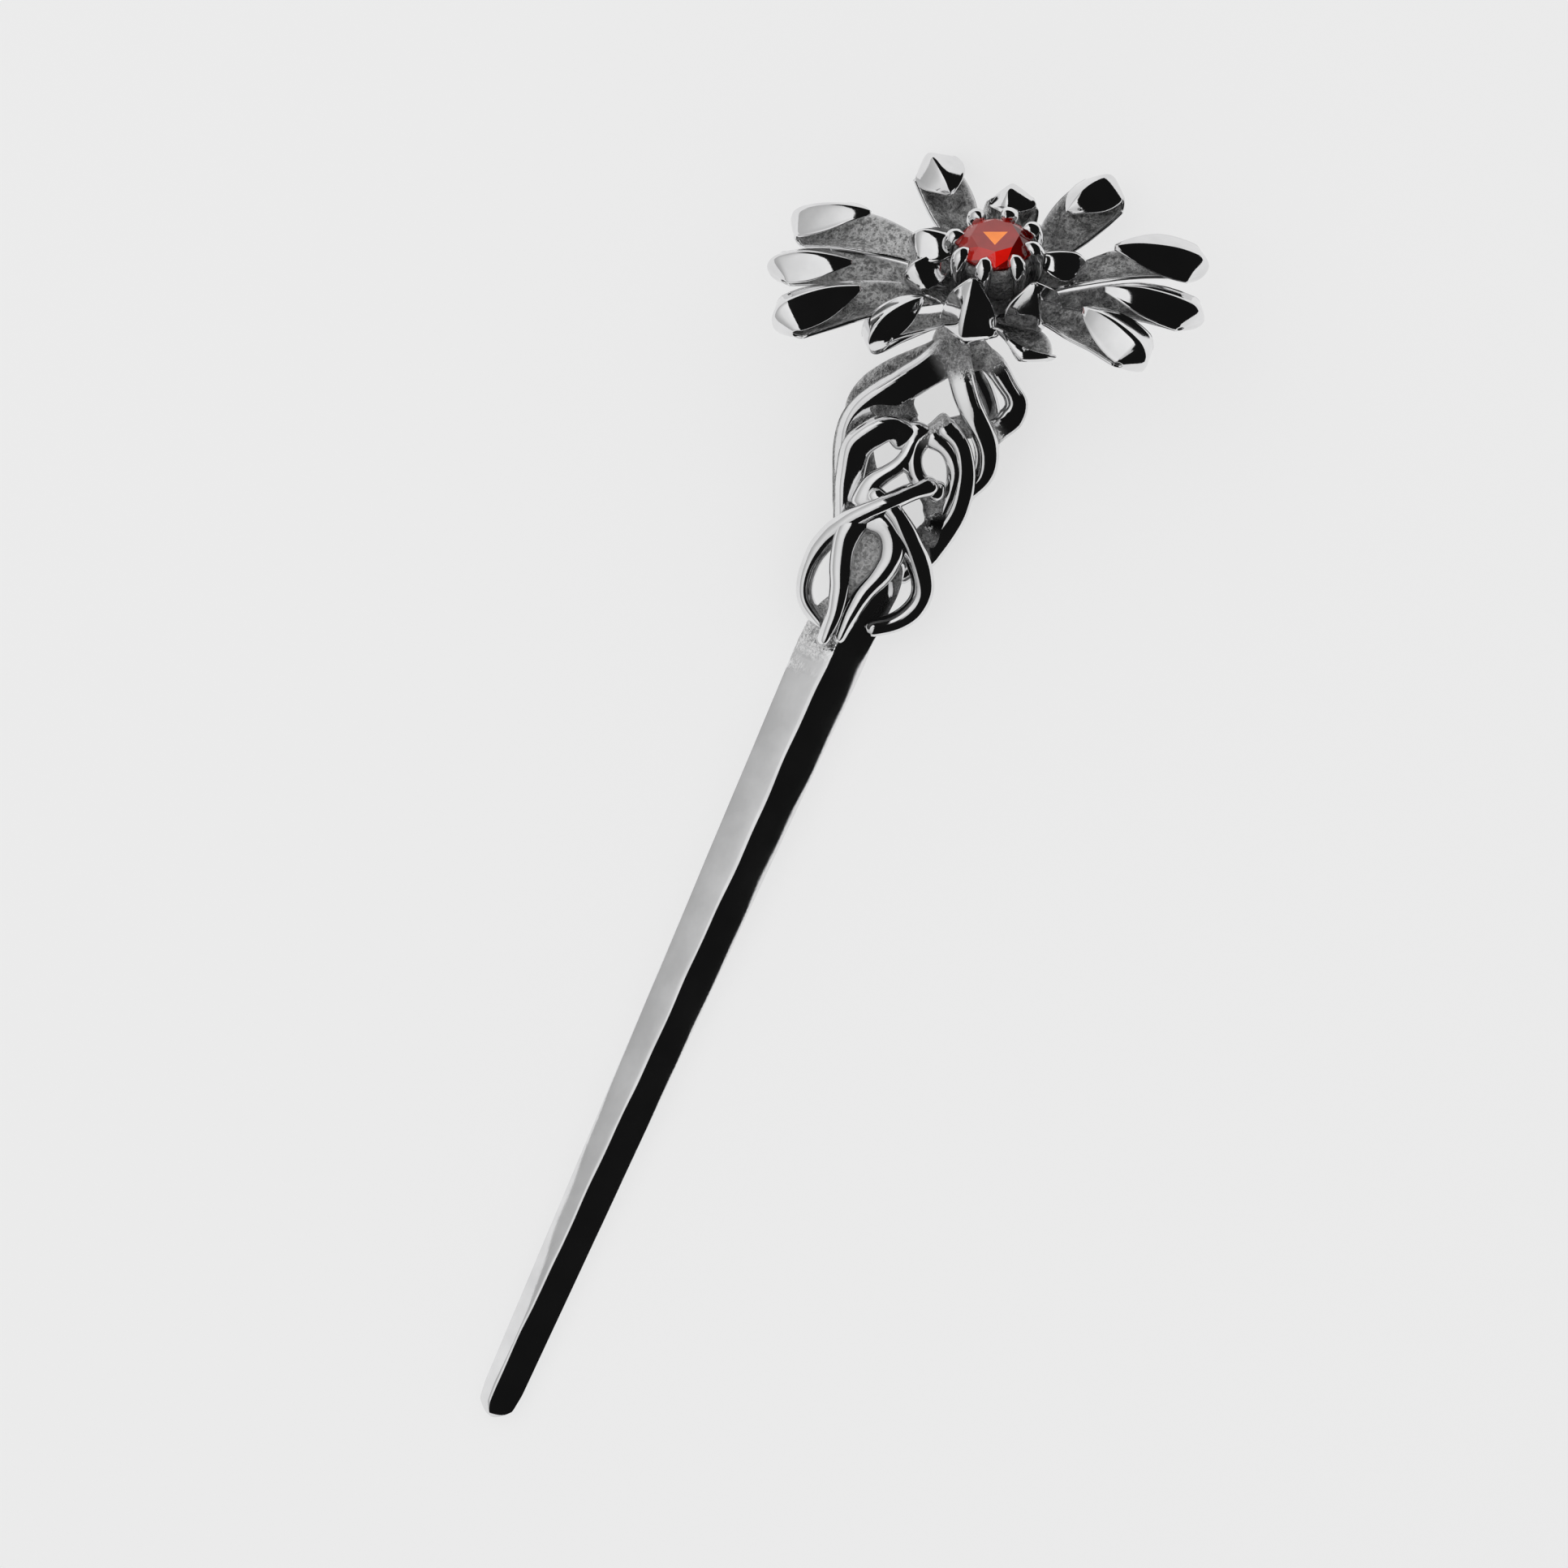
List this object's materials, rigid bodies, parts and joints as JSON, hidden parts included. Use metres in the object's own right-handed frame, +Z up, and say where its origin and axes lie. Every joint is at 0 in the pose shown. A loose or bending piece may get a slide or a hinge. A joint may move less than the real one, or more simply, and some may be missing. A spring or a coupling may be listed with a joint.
{
  "type": "decorative hair pin",
  "caption": "Cast silver hair stick with a tapered shaft, an openwork vine neck and a tilted flower of curled petals round a claw-set round stone.",
  "frame": {"origin": "centre of the pin's bounding box, on the surface it lies on", "axes": "+X along the stick from the shaft's tip to the flower, +Z up out of the pin's front as it lies on its back, +Y completes the right-handed frame"},
  "size_m": [0.133, 0.0406, 0.0208],
  "materials": {
    "polished_silver": "polished silver with darkened recesses",
    "petal_silver": "grained matte faces with polished curled tips",
    "matte_silver": "grained and darkened recess",
    "stone": "faceted orange-red stone"
  },
  "bodies": {
    "root": {"calyx_floor": "matte_silver", "calyx_left_loop": "polished_silver", "calyx_right_loop": "polished_silver", "calyx_rim_left": "polished_silver", "calyx_rim_right": "polished_silver", "claw_1": "polished_silver", "claw_2": "polished_silver", "claw_3": "polished_silver", "claw_4": "polished_silver", "claw_5": "polished_silver", "claw_6": "polished_silver", "claw_7": "polished_silver", "claw_8": "polished_silver", "flower_stem": "polished_silver", "gemstone": "stone", "inner_petal_01": "petal_silver", "inner_petal_02": "petal_silver", "inner_petal_03": "petal_silver", "inner_petal_04": "petal_silver", "inner_petal_05": "petal_silver", "inner_petal_06": "petal_silver", "neck_hub": "polished_silver", "outer_petal_01": "petal_silver", "outer_petal_02": "petal_silver", "outer_petal_03": "petal_silver", "outer_petal_04": "petal_silver", "outer_petal_05": "petal_silver", "outer_petal_06": "petal_silver", "outer_petal_07": "petal_silver", "outer_petal_08": "petal_silver", "outer_petal_09": "petal_silver", "outer_petal_10": "petal_silver", "pin_shaft": "polished_silver", "receptacle": "matte_silver", "setting_cup": "matte_silver", "vine_arch": "polished_silver", "vine_back_left": "polished_silver", "vine_back_right": "polished_silver", "vine_branch": "polished_silver", "vine_bridge": "polished_silver", "vine_centre_right": "polished_silver", "vine_cross_left": "polished_silver", "vine_fork_web": "polished_silver", "vine_front_left": "polished_silver", "vine_front_right": "polished_silver", "vine_ring": "polished_silver", "vine_side_right": "polished_silver", "vine_small_branch": "polished_silver"}
  },
  "joints": []
}
